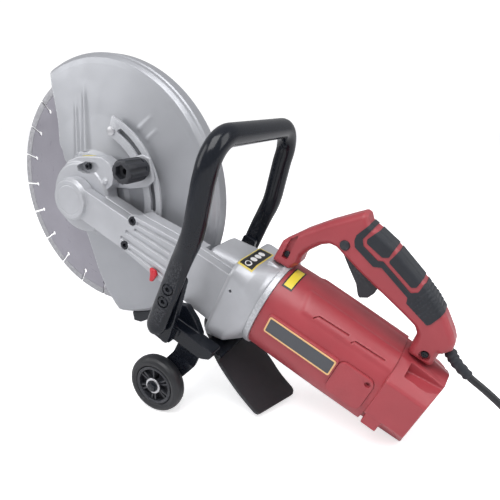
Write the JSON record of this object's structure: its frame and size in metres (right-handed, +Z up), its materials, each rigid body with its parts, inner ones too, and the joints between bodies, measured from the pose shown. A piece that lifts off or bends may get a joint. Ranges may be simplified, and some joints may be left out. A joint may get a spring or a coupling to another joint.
{
  "type": "electric concrete cut-off saw",
  "caption": "Electric concrete cut-off saw: red motor body, grey cast belt arm and blade guard, segmented diamond blade, black loop front handle, transport wheels and splash flap.",
  "frame": {"origin": "centre of the bounding box's bottom face, on the floor", "axes": "+X is forward, towards the blade; +Y is the saw's left side (belt cover side); +Z is up, with the saw resting nose up on its two wheels and rear cover"},
  "size_m": [0.746, 0.2264, 0.4408],
  "materials": {
    "red_plastic": "moulded glass-filled nylon, satin",
    "cast_aluminium": "painted die casting, satin grey",
    "black_plastic": "moulded, matt",
    "rubber": "moulded rubber",
    "black_paint": "gloss black powder coat",
    "steel": "machined",
    "blade_steel": "ground steel core with sintered segments",
    "lamination": "stacked sheet steel",
    "copper": "turned copper",
    "carbon": "pressed carbon",
    "plate": "blank rating plate",
    "lever_red": "moulded, glossy"
  },
  "bodies": {
    "frame": {"motor_housing": "red_plastic", "rear_cover": "red_plastic", "brush_cover_left": "red_plastic", "brush_cover_right": "red_plastic", "nameplate": "plate", "gear_housing": "cast_aluminium", "bearing_plate": "cast_aluminium", "arm_casting": "cast_aluminium", "belt_cover": "cast_aluminium", "cover_screw_upper": "black_paint", "cover_screw_lower": "black_paint", "rear_handle_left": "red_plastic", "rear_handle_right": "red_plastic", "grip_overmould": "rubber", "switch_module": "black_plastic", "cord_guard": "rubber", "power_cord": "rubber", "front_handle": "black_paint", "cross_bracket": "black_paint", "handle_bolt_left_upper": "black_paint", "handle_bolt_left_lower": "black_paint", "handle_bolt_right_upper": "black_paint", "handle_bolt_right_lower": "black_paint", "wheel_bracket_left": "black_paint", "wheel_bracket_right": "black_paint", "axle_bolt_left": "black_paint", "axle_bolt_right": "black_paint", "splash_flap": "rubber", "stator_core": "lamination", "brush_carrier": "black_plastic", "carbon_brush_left": "carbon", "carbon_brush_right": "carbon", "spindle_bearing_front": "steel", "spindle_bearing_rear": "steel", "jackshaft_bearing": "steel", "armature_bearing_front": "steel", "armature_bearing_rear": "steel", "guard_clamp_bolt": "steel", "drive_belt": "rubber"},
    "blade_spindle": {"blade": "blade_steel", "spindle": "steel", "outer_flange": "steel", "arbor_bolt": "steel", "driven_pulley": "steel"},
    "jackshaft_set": {"jackshaft": "steel", "ring_gear": "steel", "drive_pulley": "steel"},
    "armature": {"armature_shaft": "steel", "armature_core": "lamination", "commutator": "copper", "cooling_fan": "black_plastic"},
    "guard": {"blade_guard": "cast_aluminium", "guard_arc_bracket": "cast_aluminium", "guard_deflector": "rubber"},
    "knob": {"clamp_knob": "black_plastic"},
    "trigger_body": {"trigger": "black_plastic"},
    "lock_body": {"lock_button": "black_plastic"},
    "left_wheel": {"wheel_left": "rubber"},
    "right_wheel": {"wheel_right": "rubber"},
    "lever": {"arm_lock_lever": "lever_red"}
  },
  "joints": [
    {"name": "blade_spin", "type": "hinge", "parent": "frame", "child": "blade_spindle", "pos_m": [0.198, -0.03, 0.2503], "axis": [0, 1, 0], "continuous": true},
    {"name": "jackshaft_spin", "type": "hinge", "parent": "frame", "child": "jackshaft_set", "pos_m": [-0.01769, 0, 0.16843], "axis": [0, 1, 0], "continuous": true},
    {"name": "armature_spin", "type": "hinge", "parent": "frame", "child": "armature", "pos_m": [-0.13526, 0, 0.11296], "axis": [0.9044, 0, 0.4267], "continuous": true},
    {"name": "guard_swing", "type": "hinge", "parent": "frame", "child": "guard", "pos_m": [0.198, -0.03, 0.2503], "axis": [0, 1, 0], "range_deg": [-25, 25], "stiffness_Nm_per_rad": 40},
    {"name": "knob_turn", "type": "hinge", "parent": "frame", "child": "knob", "pos_m": [0.10125, 0.032, 0.29366], "axis": [0, 1, 0], "range_deg": [0, 360]},
    {"name": "trigger_pull", "type": "hinge", "parent": "frame", "child": "trigger_body", "pos_m": [-0.16996, 0, 0.21932], "axis": [0, 1, 0], "range_deg": [0, 7], "stiffness_Nm_per_rad": 1},
    {"name": "lock_press", "type": "slide", "parent": "frame", "child": "lock_body", "axis": [0, -1, 0], "range_m": [0, 0.003], "stiffness_N_per_m": 200},
    {"name": "wheel_left_spin", "type": "hinge", "parent": "frame", "child": "left_wheel", "pos_m": [0.03751, 0.087, 0.03738], "axis": [0, 1, 0], "continuous": true},
    {"name": "wheel_right_spin", "type": "hinge", "parent": "frame", "child": "right_wheel", "pos_m": [0.03751, -0.087, 0.03738], "axis": [0, 1, 0], "continuous": true},
    {"name": "lever_turn", "type": "hinge", "parent": "frame", "child": "lever", "pos_m": [0.06529, 0.048, 0.16833], "axis": [0, 1, 0], "range_deg": [-45, 0], "stiffness_Nm_per_rad": 0.5}
  ],
  "couplings": [
    {"joint": "jackshaft_spin", "follows": "blade_spin", "ratio": 1.0952},
    {"joint": "armature_spin", "follows": "blade_spin", "ratio": -4.381}
  ]
}
